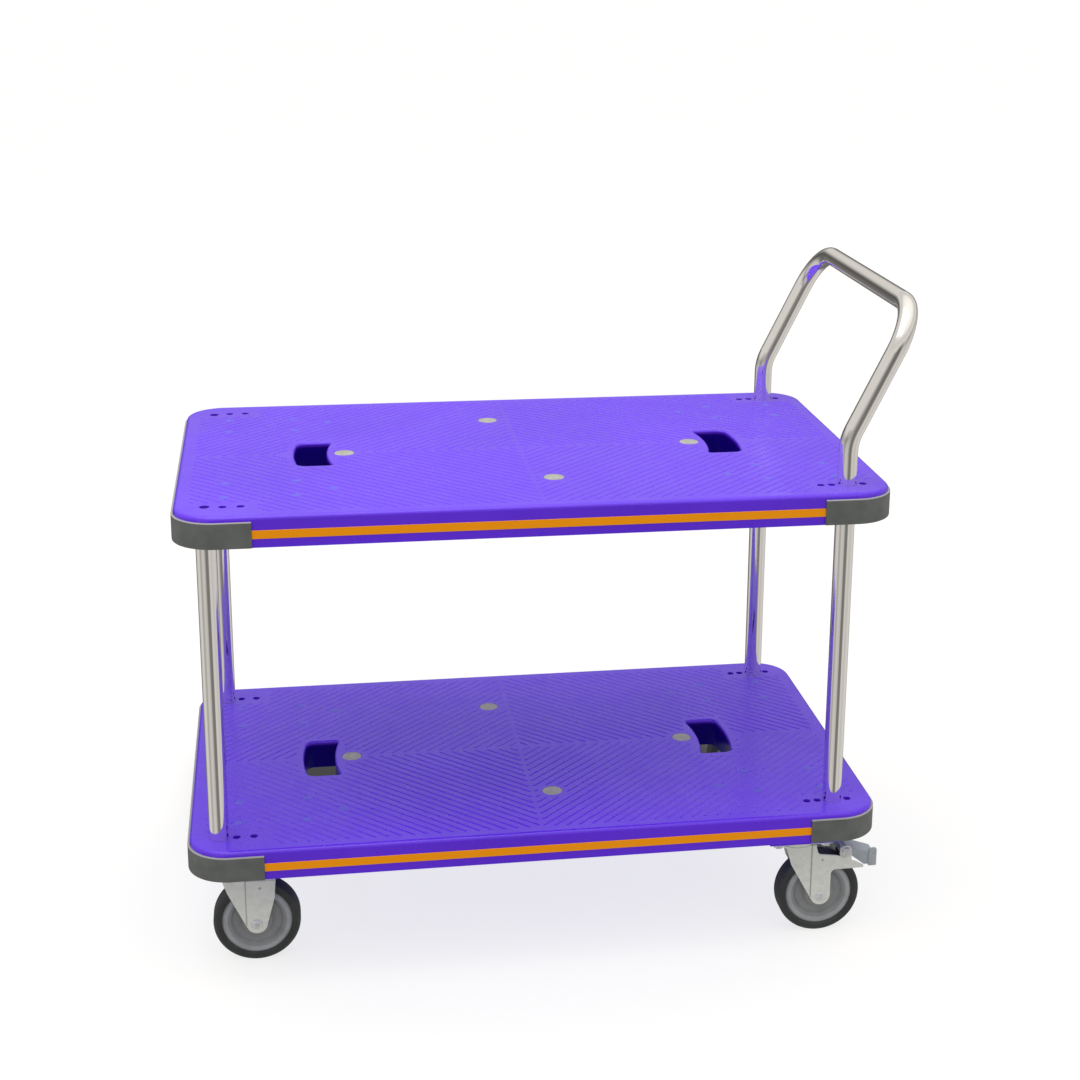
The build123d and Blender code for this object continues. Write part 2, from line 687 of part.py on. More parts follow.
def build_swivel_fork(side):
    y = side * SWIVEL_Y
    x = SWIVEL_AXLE_X
    crown_top = CROWN_TOP - AXLE_Z
    outline = [
        (CREASE, 0),
        (CREASE, crown_top),
        (-9, crown_top),
        (-5, 67.5),
        (24, 63.5),
        (56, 50.5),
        (65, 45),
        (65, 41.5),
        (-CREASE, 41.5),
        (-CREASE, 0),
    ]
    wing = [(CREASE + 1, -5), (CREASE + 1, crown_top), (-54, crown_top), (-45, 51)]
    rounds = [((-CREASE, 41.5), 8), ((-5, 67.5), 6), ((24, 63.5), 15), ((65, 41.5), 1.5)]
    with BuildPart() as fork:
        with BuildSketch(level(CROWN_TOP - 3, x - SWIVEL_TRAIL, y)):
            Circle(28)
            with Locations((SWIVEL_TRAIL - 32, 0)):
                Rectangle(42, 2 * (FORK_INNER + SHEET) - 9)
            with Locations((SWIVEL_TRAIL - 15, 0)):
                Rectangle(14, 2 * (FORK_INNER + SHEET) - 1)
        extrude(amount=3)
        for leg in (-1, 1):
            add_leg(x, y, leg, outline, rounds)
            add_wing(x, y, leg, wing)
            # ear that carries the brake pivot, on the inside of the arm
            with BuildSketch(leg_plane(x, y, leg, out=-SHEET - 0.5)):
                with Locations((PIVOT_DX, PIVOT_DZ)):
                    Circle(9)
                with Locations((PIVOT_DX, PIVOT_DZ - 12)):
                    Rectangle(18, 24)
            extrude(amount=SHEET + 0.5 if leg < 0 else SHEET)
            if leg > 0:
                with BuildSketch(leg_plane(x, y, leg, out=-SHEET)):
                    with Locations((PIVOT_DX, PIVOT_DZ - 16)):
                        Rectangle(18, 14)
                extrude(amount=0.5)
        # lower ball race
        with BuildSketch(level(CROWN_TOP, x - SWIVEL_TRAIL, y)):
            Circle(24.8)
        extrude(amount=5)
        with BuildSketch(level(CROWN_TOP - 4, x - SWIVEL_TRAIL, y)):
            Circle(KINGPIN_R + RUNNING)
        extrude(amount=12, mode=Mode.SUBTRACT)
        cut_through(x, y, AXLE_R + 0.15)
        cut_through(x + PIVOT_DX, y, PIVOT_R + 0.15, PIVOT_DZ)
        for leg in (-1, 1):
            add_mark(x, y, leg, 1.5, 57.5)
    return fork


def build_axle_bolt(x, y, side):
    """Axle bolt: its domed head is outside the near leg or the far leg, away from the cart's middle."""
    reach = FORK_INNER + SHEET
    head = 5.0
    spare = 8.0
    with BuildPart() as bolt:
        with BuildSketch(along_axle(x, y)):
            with BuildLine():
                Polyline(
                    (-side * (reach + spare), 0),
                    (-side * (reach + spare), AXLE_R - 0.5),
                    (-side * (reach + spare - 0.5), AXLE_R),
                    (side * reach, AXLE_R),
                    (side * reach, 7.4),
                    (side * (reach + 2.2), 7.4),
                )
                ThreePointArc(
                    (side * (reach + 2.2), 7.4),
                    (side * (reach + head - 0.8), 5.6),
                    (side * (reach + head), 3.0),
                )
                Polyline(
                    (side * (reach + head), 3.0),
                    (side * (reach + head), 0),
                    (-side * (reach + spare), 0),
                )
            make_face()
        revolve(axis=axle_axis(x, y))
    return bolt


def add_nut(x, y, z, side, start, size, height, bore):
    """Adds a hexagon nut that lies against a face at distance start, on the given side of y."""
    nut_y = y + start + height if side > 0 else y - start
    with BuildSketch(facing_near(x, nut_y, z)) as face:
        RegularPolygon(size / 2, 6, major_radius=False)
        Circle(bore, mode=Mode.SUBTRACT)
    extrude(face.sketch, amount=height)


def add_sleeve(x, y):
    with BuildSketch(facing_near(x, y + FORK_INNER - 0.1, AXLE_Z)) as face:
        Circle(SLEEVE_R)
        Circle(AXLE_R + 0.1, mode=Mode.SUBTRACT)
    extrude(face.sketch, amount=2 * FORK_INNER - 0.2)


def build_hub(x, y):
    half = [
        (9.3, 9),
        (9.3, BEARING_R),
        (17.5, BEARING_R),
        (17.5, 20.5),
        (9.0, 24),
        (9.0, 35.5),
        (11.5, 38),
        (12.5, 40.5),
        (13.5, 42),
        (13.5, 47),
        (12.5, HUB_R - 0.05),
    ]
    with BuildPart() as hub:
        with BuildSketch(along_axle(x, y)):
            with BuildLine():
                Polyline(*half, *[(-w, r) for w, r in reversed(half)], close=True)
            make_face()
        revolve(axis=axle_axis(x, y))
    return hub


def build_tyre(x, y):
    with BuildPart() as tyre:
        with BuildSketch(along_axle(x, y)) as profile:
            with BuildLine():
                Polyline(
                    (-13, HUB_R),
                    (-TYRE_HALF, HUB_R + 3),
                    (-TYRE_HALF, WHEEL_R),
                    (TYRE_HALF, WHEEL_R),
                    (TYRE_HALF, HUB_R + 3),
                    (13, HUB_R),
                    close=True,
                )
            make_face()
            fillet(profile.vertices().group_by(Axis.Y)[-1], 6)
        revolve(axis=axle_axis(x, y))
    return tyre


def build_bearings(x, y):
    """Two bearings: outer ring, shield and inner ring in one turned shape, with a groove in each face."""
    inner = SLEEVE_R + RUNNING
    outer = BEARING_R - 0.05
    with BuildPart() as bearings:
        for end in (-1, 1):
            low = end * (17.5 - BEARING_WIDE) if end > 0 else end * 17.5
            with BuildSketch(along_axle(x, y)):
                with Locations((low + BEARING_WIDE / 2, (inner + outer) / 2)):
                    Rectangle(BEARING_WIDE, outer - inner)
                for face in (low, low + BEARING_WIDE):
                    with Locations((face, (inner + outer) / 2)):
                        Rectangle(1.2, 3.2, mode=Mode.SUBTRACT)
            revolve(axis=axle_axis(x, y))
    return bearings


def build_top_plate(side):
    """Swivel caster's plate with the skirt and seat of the upper ball race."""
    x = SWIVEL_AXLE_X - SWIVEL_TRAIL
    y = side * SWIVEL_Y
    seat = CROWN_TOP + 5 + 2 * RACE_BALL_R + 0.6
    with BuildPart() as plate:
        with BuildSketch(level(PLATE_TOP, x, y)):
            RectangleRounded(SWIVEL_PLATE[0], SWIVEL_PLATE[1], 8)
            with GridLocations(SWIVEL_BOLTS[0], SWIVEL_BOLTS[1], 2, 2):
                SlotOverall(11, 8.6, mode=Mode.SUBTRACT)
        extrude(amount=-PLATE_THICK)
        with BuildSketch(level(seat, x, y)):
            Circle(30)
        extrude(amount=PLATE_TOP - seat - 1)
        with BuildSketch(level(CROWN_TOP + 3, x, y)):
            Circle(30)
            Circle(25.5, mode=Mode.SUBTRACT)
        extrude(amount=PLATE_TOP - CROWN_TOP - 4)
        with BuildSketch(level(CROWN_TOP, x, y)):
            Circle(KINGPIN_R + 0.05)
        extrude(amount=PLATE_TOP - CROWN_TOP + 1, mode=Mode.SUBTRACT)
    return plate


def build_kingpin(side):
    x = SWIVEL_AXLE_X - SWIVEL_TRAIL
    y = side * SWIVEL_Y
    head_top = CROWN_TOP - 3 - 0.2
    with BuildPart() as pin:
        with BuildSketch(level(head_top, x, y)):
            Circle(KINGPIN_R)
        extrude(amount=PLATE_TOP - head_top)
        with BuildSketch(level(head_top, x, y)):
            Circle(10)
        extrude(amount=-4.5)
        fillet(pin.faces().sort_by(Axis.Z)[0].edges(), 1.5)
    return pin


def build_race_balls(side):
    x = DECK_X + SWIVEL_AXLE_X - SWIVEL_TRAIL
    with BuildPart() as balls:
        with PolarLocations(RACE_BALL_RING, RACE_BALLS):
            Sphere(RACE_BALL_R)
    balls_up = CROWN_TOP + 5 + RACE_BALL_R + 0.3
    with BuildPart() as placed:
        add(balls.part.moved(Location((x, side * SWIVEL_Y, balls_up))))
    return placed


def build_pivot_bolt(side):
    x = SWIVEL_AXLE_X + PIVOT_DX
    y = side * SWIVEL_Y
    z = AXLE_Z + PIVOT_DZ
    head = 5.0
    spare = 9.0
    head_side = y + side * FORK_INNER
    start = head_side if side > 0 else y + FORK_INNER + spare
    with BuildPart() as bolt:
        with BuildSketch(facing_near(x, start, z)):
            Circle(PIVOT_R)
        extrude(amount=2 * FORK_INNER + spare)
        add_nut(x, y, z, side, FORK_INNER, 13, head, 0.01)
    with BuildPart() as nut:
        add_nut(x, y, z, -side, FORK_INNER + 0.05, 13, 6.5, PIVOT_R + 0.05)
    return bolt, nut


def turned(points, angle):
    """Points turned about the origin by an angle in degrees."""
    c, s = cos(radians(angle)), sin(radians(angle))
    return [(a * c - b * s, a * s + b * c) for a, b in points]


def build_pedal(side):
    """Brake pedal: two cheeks on the pivot, a web to step on, an end wall, an outer tab and a shoe bridge."""
    x = SWIVEL_AXLE_X + PIVOT_DX
    y = side * SWIVEL_Y
    z = AXLE_Z + PIVOT_DZ
    tab_outer = y + (PEDAL_HALF + PEDAL_TAB if side > 0 else -PEDAL_HALF + PEDAL_TAB / 2)
    shoe_half = PEDAL_HALF - PEDAL_SHEET - 0.1
    shoe_turn = SHOE_ANGLE - degrees(atan2(PIVOT_DX, PIVOT_DZ))
    with BuildPart() as pedal:
        for outer in (PEDAL_HALF, -PEDAL_HALF + PEDAL_SHEET):
            with BuildSketch(facing_near(x, y + outer, z)):
                Circle(PEDAL_EYE)
                with BuildLine():
                    Polyline(*PEDAL_CHEEK, close=True)
                make_face()
                with BuildLine():
                    Polyline(*turned(PEDAL_LOBE, shoe_turn), close=True)
                make_face()
            extrude(amount=PEDAL_SHEET)
        for outline in (PEDAL_WEB, PEDAL_END):
            with BuildSketch(facing_near(x, y + PEDAL_HALF, z)):
                with BuildLine():
                    Polyline(*outline, close=True)
                make_face()
            extrude(amount=2 * PEDAL_HALF)
        with BuildSketch(facing_near(x, tab_outer, z)) as tab:
            with BuildLine():
                Polyline(*PEDAL_PAD, close=True)
            make_face()
            fillet(tab.vertices().sort_by_distance(PEDAL_PAD_TOP)[0], 4)
            fillet(tab.vertices().sort_by_distance(PEDAL_PAD_LOW)[0], 1.5)
        extrude(amount=1.5 * PEDAL_TAB)
        with BuildSketch(facing_near(x, y + PEDAL_HALF - 0.5, z)):
            with BuildLine():
                Polyline(*turned(PEDAL_BRIDGE, shoe_turn), close=True)
            make_face()
        extrude(amount=2 * PEDAL_HALF - 1)
        with BuildSketch(facing_near(x, y + 2 * PEDAL_HALF, z)):
            Circle(PIVOT_R + RUNNING)
        extrude(amount=4 * PEDAL_HALF, mode=Mode.SUBTRACT)
    with BuildPart() as shoe:
        with BuildSketch(facing_near(x, y + shoe_half, z)):
            with BuildLine():
                Polyline(*turned(PEDAL_BLOCK, shoe_turn), close=True)
            make_face()
            Circle(SHOE_TIP, mode=Mode.INTERSECT)
        extrude(amount=2 * shoe_half)
    return pedal, shoe


for side_name, side in SIDES.items():
    front = f"front_{side_name}"
    rear = f"rear_{side_name}"
    front_y = side * FIXED_Y
    rear_y = side * SWIVEL_Y
    save(build_fixed_fork(side), f"{front}_fork")
    save(build_top_plate(side), f"{rear}_top_plate")
    save(build_kingpin(side), f"{rear}_kingpin")
    save(build_race_balls(side), f"{rear}_race_balls")
    save(build_swivel_fork(side), f"{rear}_fork")
    pivot_bolt, pivot_nut = build_pivot_bolt(side)
    save(pivot_bolt, f"{rear}_brake_pivot")
    save(pivot_nut, f"{rear}_brake_pivot_nut")
    pedal, shoe = build_pedal(side)
    save(pedal, f"{rear}_brake_pedal")
    save(shoe, f"{rear}_brake_shoe")
    for corner, x, y in ((front, FIXED_X, front_y), (rear, SWIVEL_AXLE_X, rear_y)):
        save(build_axle_bolt(x, y, side), f"{corner}_axle_bolt")
        save(build_hub(x, y), f"{corner}_hub")
        save(build_tyre(x, y), f"{corner}_tyre")
        save(build_bearings(x, y), f"{corner}_bearings")
    with BuildPart() as rear_nut:
        add_nut(SWIVEL_AXLE_X, rear_y, AXLE_Z, -side, FORK_INNER + SHEET, 13, 6.5, AXLE_R + 0.05)
    save(rear_nut, f"{rear}_axle_nut")
    with BuildPart() as rear_sleeve:
        add_sleeve(SWIVEL_AXLE_X, rear_y)
    save(rear_sleeve, f"{rear}_axle_sleeve")

with BuildPart() as front_axle_nuts:
    for side in SIDES.values():
        add_nut(FIXED_X, side * FIXED_Y, AXLE_Z, -side, FORK_INNER + SHEET, 13, 6.5, AXLE_R + 0.05)
save(front_axle_nuts, "front_axle_nuts")

with BuildPart() as front_axle_sleeves:
    for side in SIDES.values():
        add_sleeve(FIXED_X, side * FIXED_Y)
save(front_axle_sleeves, "front_axle_sleeves")
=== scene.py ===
"""Looks for the two-deck platform trolley: materials, tread ribs, small moulded detail, light and camera.

Metres, in the frame's own axes: +X is the handle end, -Y the near side, +Z up, floor at z = 0.
"""

import json
import math
import bmesh
import bpy
from mathutils import Matrix, Vector


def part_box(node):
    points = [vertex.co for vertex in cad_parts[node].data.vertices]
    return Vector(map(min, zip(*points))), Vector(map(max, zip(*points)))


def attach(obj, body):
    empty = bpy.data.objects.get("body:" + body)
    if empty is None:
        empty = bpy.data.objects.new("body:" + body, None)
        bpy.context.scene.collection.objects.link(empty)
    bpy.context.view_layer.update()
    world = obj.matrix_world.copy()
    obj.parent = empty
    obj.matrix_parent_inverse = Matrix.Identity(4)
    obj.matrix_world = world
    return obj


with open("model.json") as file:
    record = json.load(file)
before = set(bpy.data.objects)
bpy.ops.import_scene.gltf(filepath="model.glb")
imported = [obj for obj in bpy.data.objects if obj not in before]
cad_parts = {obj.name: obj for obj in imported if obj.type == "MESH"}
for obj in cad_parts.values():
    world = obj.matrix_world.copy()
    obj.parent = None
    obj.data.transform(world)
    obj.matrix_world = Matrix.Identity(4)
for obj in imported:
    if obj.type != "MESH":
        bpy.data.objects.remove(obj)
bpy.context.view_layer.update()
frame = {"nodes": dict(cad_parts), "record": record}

MM = 0.001
SIDES = ("near", "far")
DECKS = ("upper", "lower")


# ---------------------------------------------------------------- places read from the frame


def middle(node):
    low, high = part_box(node)
    return (low + high) / 2


def extent(node):
    low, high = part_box(node)
    return high - low


deck_middle = {deck: middle(f"{deck}_deck") for deck in DECKS}
deck_top = {deck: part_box(f"{deck}_deck")[1].z for deck in DECKS}
deck_size = extent("upper_deck")


def hand_hole_spans():
    """Middle, from the deck's, and half length along X of each upper hand hole, from the record."""
    spans = []
    for opening in frame["record"]["physics"]["openings"]:
        if opening["name"].startswith("upper") and "hand_hole" in opening["name"]:
            low, high = opening["box_m"]
            spans.append(((low[0] + high[0]) / 2 - deck_middle["upper"].x, (high[0] - low[0]) / 2))
    return spans


hole_spans = hand_hole_spans()
tube_row = abs(middle("front_near_post").y)
HOLE_MIDDLE = abs(hole_spans[0][0])
HOLE_SHADE_HALF = (0.030, 0.066)  # half size of the painted-shade zone in a hand hole
WELL_ROW = 0.250  # the wells' distance from the deck's long middle line
# radius of the painted shade in the wells, and where it starts along the deck
WELL_SHADE_R = 0.0075
WELL_SHADE_FROM = 0.385  # from the deck's short middle line
RIM_DEPTH = 0.046  # a hole's rim reaches this far below the deck's top
FORK_FOLD = -0.015  # fold between a fork's leg and wing, from the wheel's axle; a shade line is painted along it
FORK_FOLD_TOP = 0.158  # top of the painted fold shade, above the floor
PRESS_MARK = {"front": (0.0055, 0.056), "rear": (0.0015, 0.0575)}  # painted round shade of the press marks on the forks' legs, from the axle


# ---------------------------------------------------------------- node helpers


class Shader:
    """A short way to write a node tree: each call adds a node and returns its output."""

    def __init__(self, name):
        self.material = bpy.data.materials.new(name)
        self.material.use_nodes = True
        self.tree = self.material.node_tree
        self.bsdf = self.tree.nodes["Principled BSDF"]

    def add(self, kind, inputs=None, **settings):
        node = self.tree.nodes.new(kind)
        for key, value in settings.items():
            setattr(node, key, value)
        for key, value in (inputs or {}).items():
            self.feed(node.inputs[key], value)
        return node

    def feed(self, socket, value):
        if isinstance(value, bpy.types.NodeSocket):
            self.tree.links.new(value, socket)
        else:
            socket.default_value = value

    def place(self, scale=(1, 1, 1)):
        """Object coordinates in metres, stretched by scale."""
        coords = self.add("ShaderNodeTexCoord").outputs["Object"]
        if scale == (1, 1, 1):
            return coords
        return self.add("ShaderNodeMapping", {"Vector": coords, "Scale": scale}).outputs["Vector"]

    def noise(self, scale, detail=3.0, rough=0.55, stretch=(1, 1, 1)):
        inputs = {"Vector": self.place(stretch), "Scale": scale, "Detail": detail, "Roughness": rough}
        return self.add("ShaderNodeTexNoise", inputs).outputs["Fac"]

    def spread(self, value, low, high, to_low, to_high):
        """Maps a value's range low..high onto to_low..to_high, smoothly, and clamps it."""
        inputs = {"Value": value, "From Min": low, "From Max": high, "To Min": to_low, "To Max": to_high}
        return self.add("ShaderNodeMapRange", inputs, interpolation_type="SMOOTHSTEP").outputs["Result"]

    def blend(self, factor, first, second):
        node = self.add("ShaderNodeMix", data_type="RGBA")
        self.feed(node.inputs[0], factor)
        self.feed(node.inputs[6], first)
        self.feed(node.inputs[7], second)
        return node.outputs[2]

    def maths(self, operation, first, second=0.0):
        node = self.add("ShaderNodeMath", operation=operation)
        self.feed(node.inputs[0], first)
        self.feed(node.inputs[1], second)
        return node.outputs[0]

    def part(self, axis):
        """One of the object coordinates, in metres."""
        split = self.add("ShaderNodeSeparateXYZ", {"Vector": self.place()})
        return split.outputs[axis]

    def bump(self, height, strength, distance, under=None):
        inputs = {"Height": height, "Strength": strength, "Distance": distance}
        node = self.add("ShaderNodeBump", inputs)
        if under is not None:
            self.tree.links.new(under, node.inputs["Normal"])
        return node.outputs["Normal"]

    def finish(self, **inputs):
        for key, value in inputs.items():
            self.feed(self.bsdf.inputs[key.replace("_", " ")], value)
        return self.material


def tint(colour, factor):
    return (*[min(1.0, channel * factor) for channel in colour], 1.0)


# ---------------------------------------------------------------- materials


def painted_shade_zones(s):
    """1 in the wells and hand holes, below the deck tops, where almost no light gets in and shade is painted; 0
    elsewhere.
    """
    across_x = s.maths("ABSOLUTE", s.maths("SUBTRACT", s.part("X"), deck_middle["upper"].x))
    across_y = s.maths("ABSOLUTE", s.part("Y"))
    from_hole = s.maths("ABSOLUTE", s.maths("SUBTRACT", across_x, HOLE_MIDDLE))
    hole_x = s.spread(from_hole, HOLE_SHADE_HALF[0], HOLE_SHADE_HALF[0] + 0.004, 1.0, 0.0)
    hole_y = s.spread(across_y, HOLE_SHADE_HALF[1], HOLE_SHADE_HALF[1] + 0.004, 1.0, 0.0)
    hole = s.maths("MULTIPLY", hole_x, hole_y)
    from_row = s.maths("ABSOLUTE", s.maths("SUBTRACT", across_y, WELL_ROW))
    well_y = s.spread(from_row, WELL_SHADE_R, WELL_SHADE_R + 0.0015, 1.0, 0.0)
    well_x = s.spread(across_x, WELL_SHADE_FROM, WELL_SHADE_FROM + 0.005, 0.0, 1.0)
    well = s.maths("MULTIPLY", well_y, well_x)
    deep = 0.0
    for deck in DECKS:
        below = s.maths("SUBTRACT", deck_top[deck], s.part("Z"))
        under_top = s.spread(below, 0.001, 0.009, 0.0, 1.0)
        over_rim = s.spread(below, RIM_DEPTH, RIM_DEPTH + 0.004, 1.0, 0.0)
        deep = s.maths("MAXIMUM", deep, s.maths("MULTIPLY", under_top, over_rim))
    return s.maths("MULTIPLY", s.maths("MAXIMUM", hole, well), deep)


def deck_plastic():
    """Purple moulded plastic: satin gloss, orange peel, faint scuffs along the length, and painted shade in its
    holes and wells.
    """
    s = Shader("purple_plastic")
    colour = (0.142, 0.027, 0.97)
    cloud = s.spread(s.noise(3.0, 2.0), 0.35, 0.65, 0.0, 1.0)
    scuffs = s.spread(s.noise(60.0, 6.0, 0.7, (1, 6, 1)), 0.62, 0.75, 0.0, 1.0)
    base = s.blend(cloud, tint(colour, 0.94), tint(colour, 1.06))
    base = s.blend(s.maths("MULTIPLY", scuffs, 0.18), base, (0.30, 0.20, 0.95, 1))
    inside = painted_shade_zones(s)
    # painted shade: near-black blue inside the wells and hand holes, below the deck top
    base = s.blend(s.maths("MULTIPLY", inside, 0.98), base, (0.006, 0.0, 0.20, 1))
    rough = s.spread(s.noise(25.0, 4.0), 0.3, 0.7, 0.25, 0.34)
    rough = s.maths("ADD", rough, s.maths("MULTIPLY", scuffs, 0.12))
    peel = s.bump(s.noise(900.0, 2.0), 0.18, 0.0003)
    normal = s.bump(s.noise(120.0, 3.0), 0.08, 0.0006, peel)
    # the painted shade also takes most of the gloss and the coat away inside the holes
    shine = s.spread(inside, 0.0, 1.0, 0.5, 0.05)
    coat = s.spread(inside, 0.0, 1.0, 0.15, 0.0)
    look = {"Specular_IOR_Level": shine, "Coat_Weight": coat, "Coat_Roughness": 0.16}
    return s.finish(Base_Color=base, Roughness=rough, Normal=normal, **look)


def bumper_plastic():
    """Grey bumper: fine grain, and a painted highlight along the upper edge of each band."""
    s = Shader("bumper_plastic")
    grey = (0.142, 0.155, 0.155)
    # painted highlight colour for the bands' upper edges, as if lit from above
    pale = (0.50, 0.50, 0.50)
    base = s.blend(s.spread(s.noise(40.0, 5.0), 0.3, 0.7, 0.0, 1.0), tint(grey, 0.88), tint(grey, 1.12))
    height = s.part("Z")
    for deck in DECKS:
        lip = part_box(f"{deck}_front_bumper")[1].z
        near_lip = s.maths("ABSOLUTE", s.maths("SUBTRACT", height, lip))
        # painted highlight: the band's upper edge turns pale
        base = s.blend(s.spread(near_lip, 0.0006, 0.0018, 0.85, 0.0), base, tint(pale, 1.0))
    rough = s.spread(s.noise(70.0, 4.0), 0.3, 0.7, 0.48, 0.62)
    grain = s.bump(s.noise(1600.0, 2.0), 0.35, 0.0003)
    normal = s.bump(s.noise(30.0, 2.0), 0.05, 0.001, grain)
    return s.finish(Base_Color=base, Roughness=rough, Normal=normal)


def stripe_plastic():
    """Orange extruded strip: fine lines along its length, a little dirt, and a slight painted glow."""
    s = Shader("stripe_plastic")
    colour = (0.93, 0.335, 0.0)
    dirt = s.spread(s.noise(18.0, 5.0, 0.65), 0.58, 0.8, 0.0, 0.3)
    base = s.blend(dirt, tint(colour, 1.0), tint(colour, 0.72))
    rough = s.spread(s.noise(30.0, 3.0), 0.3, 0.7, 0.3, 0.42)
    lines = s.bump(s.noise(400.0, 2.0, 0.5, (0.02, 1, 1)), 0.15, 0.0003)
    glow = {"Emission_Color": (1.0, 0.30, 0.0, 1), "Emission_Strength": 0.13}  # painted glow: the strip gives off a little light, though it is no lamp
    return s.finish(Base_Color=base, Roughness=rough, Normal=lines, Specular_IOR_Level=0.3, **glow)


def plug_plastic():
    """Pale grey plug: matt, slightly cloudy, with a fine grain."""
    s = Shader("plug_plastic")
    colour = (0.47, 0.48, 0.43)
    cloud = s.spread(s.noise(90.0, 4.0), 0.35, 0.65, 0.0, 1.0)
    base = s.blend(cloud, tint(colour, 0.86), tint(colour, 1.06))
    rough = s.spread(s.noise(120.0, 3.0), 0.3, 0.7, 0.42, 0.58)
    return s.finish(Base_Color=base, Roughness=rough, Normal=s.bump(s.noise(1400.0, 2.0), 0.3, 0.0003))


def chromed_tube():
    """Bright chromed tube: a mirror with faint draw lines along it and small dull spots."""
    s = Shader("chromed_tube")
    colour = (0.90, 0.885, 0.86)
    spots = s.spread(s.noise(140.0, 5.0, 0.7), 0.62, 0.74, 0.0, 1.0)
    haze = s.spread(s.noise(14.0, 3.0), 0.3, 0.7, 0.06, 0.11)
    rough = s.maths("ADD", haze, s.maths("MULTIPLY", spots, 0.10))
    base = s.blend(s.maths("MULTIPLY", spots, 0.25), tint(colour, 1.0), tint(colour, 0.7))
    draw = s.bump(s.noise(300.0, 2.0, 0.5, (1, 1, 0.03)), 0.03, 0.0002)
    normal = s.bump(s.noise(9.0, 2.0), 0.05, 0.002, draw)
    return s.finish(Base_Color=base, Metallic=1.0, Roughness=rough, Normal=normal)


def fork_painted_shade_mask(s):
    """1 where shade is painted: in the folds between the forks' legs and wings and in the round press marks; 0
    elsewhere.
    """
    painted_fork_shade = 0.0
    height = s.part("Z")
    for end in ("front", "rear"):
        axle = middle(f"{end}_near_tyre")
        from_fold = s.maths("ABSOLUTE", s.maths("SUBTRACT", s.part("X"), axle.x + FORK_FOLD))
        line = s.spread(from_fold, 0.0004, 0.0013, 0.75, 0.0)
        above = s.spread(height, axle.z - 0.004, axle.z, 0.0, 1.0)
        below = s.spread(height, FORK_FOLD_TOP - 0.003, FORK_FOLD_TOP, 1.0, 0.0)
        fold = s.maths("MULTIPLY", line, s.maths("MULTIPLY", above, below))
        off_x = s.maths("SUBTRACT", s.part("X"), axle.x + PRESS_MARK[end][0])
        off_z = s.maths("SUBTRACT", height, axle.z + PRESS_MARK[end][1])
        square = s.maths("ADD", s.maths("MULTIPLY", off_x, off_x), s.maths("MULTIPLY", off_z, off_z))
        mark = s.spread(s.maths("SQRT", square), 0.0010, 0.0026, 0.85, 0.0)
        painted_fork_shade = s.maths("MAXIMUM", painted_fork_shade, s.maths("MAXIMUM", fold, mark))
    return painted_fork_shade


def zinc(name, colour, rough_low, rough_high, spangle=120.0, metal=0.45, painted_fork_shade=None):
    """Zinc-plated steel: cloudy plating, rolled grain, dull stains, and painted shade where the given mask is 1.
    """
    s = Shader(name)
    cloud = s.spread(s.noise(spangle, 4.0, 0.6), 0.3, 0.7, 0.0, 1.0)
    stain = s.spread(s.noise(22.0, 5.0, 0.7), 0.58, 0.72, 0.0, 0.4)
    base = s.blend(cloud, tint(colour, 0.93), tint(colour, 1.05))
    base = s.blend(stain, base, tint(colour, 0.78))
    if painted_fork_shade:
        # painted shade: darker in the forks' folds and press marks
        base = s.blend(painted_fork_shade(s), base, tint(colour, 0.42))
    rough = s.spread(s.noise(60.0, 4.0), 0.3, 0.7, rough_low, rough_high)
    rough = s.maths("ADD", rough, s.maths("MULTIPLY", stain, 0.2))
    grain = s.bump(s.noise(700.0, 3.0, 0.6, (1, 1, 0.12)), 0.12, 0.0003)
    return s.finish(Base_Color=base, Metallic=metal, Roughness=rough, Normal=grain)


def black_steel():
    s = Shader("black_steel")
    worn = s.spread(s.noise(200.0, 4.0), 0.4, 0.7, 0.0, 1.0)
    base = s.blend(worn, (0.012, 0.012, 0.014, 1), (0.05, 0.05, 0.055, 1))
    rough = s.spread(s.noise(150.0, 3.0), 0.3, 0.7, 0.35, 0.55)
    grain = s.bump(s.noise(900.0), 0.2, 0.0002)
    return s.finish(Base_Color=base, Metallic=0.6, Roughness=rough, Normal=grain)


def cast_zinc():
    s = Shader("zinc_casting")
    base = s.blend(s.noise(160.0, 5.0), (0.38, 0.38, 0.38, 1), (0.55, 0.55, 0.54, 1))
    grain = s.bump(s.noise(700.0), 0.3, 0.0004)
    return s.finish(Base_Color=base, Metallic=0.8, Roughness=0.5, Normal=grain)


def hub_plastic(name, colour):
    """Grey wheel centre: slightly glossy moulding with flow marks and dust."""
    s = Shader(name)
    flow = s.spread(s.noise(35.0, 4.0, 0.6), 0.3, 0.7, 0.0, 1.0)
    dust = s.spread(s.noise(110.0, 6.0, 0.7), 0.55, 0.75, 0.0, 0.3)
    base = s.blend(flow, tint(colour, 0.9), tint(colour, 1.1))
    base = s.blend(dust, base, (0.34, 0.34, 0.33, 1))
    rough = s.spread(s.noise(50.0, 3.0), 0.3, 0.7, 0.34, 0.48)
    return s.finish(Base_Color=base, Roughness=rough, Normal=s.bump(s.noise(1000.0, 2.0), 0.15, 0.0003))


def tyre_rubber():
    """Dark grey tyre: matt, dusty, with scuffs."""
    s = Shader("tyre_rubber")
    dark = (0.040, 0.048, 0.048)
    dust = s.spread(s.noise(28.0, 6.0, 0.65), 0.42, 0.75, 0.0, 0.45)
    base = s.blend(dust, tint(dark, 1.0), (0.075, 0.078, 0.075, 1))
    rough = s.spread(s.noise(60.0, 4.0), 0.3, 0.7, 0.5, 0.72)
    fine = s.bump(s.noise(1500.0, 3.0), 0.3, 0.0003)
    normal = s.bump(s.noise(200.0, 4.0, 0.7), 0.15, 0.0004, fine)
    return s.finish(Base_Color=base, Roughness=rough, Normal=normal)


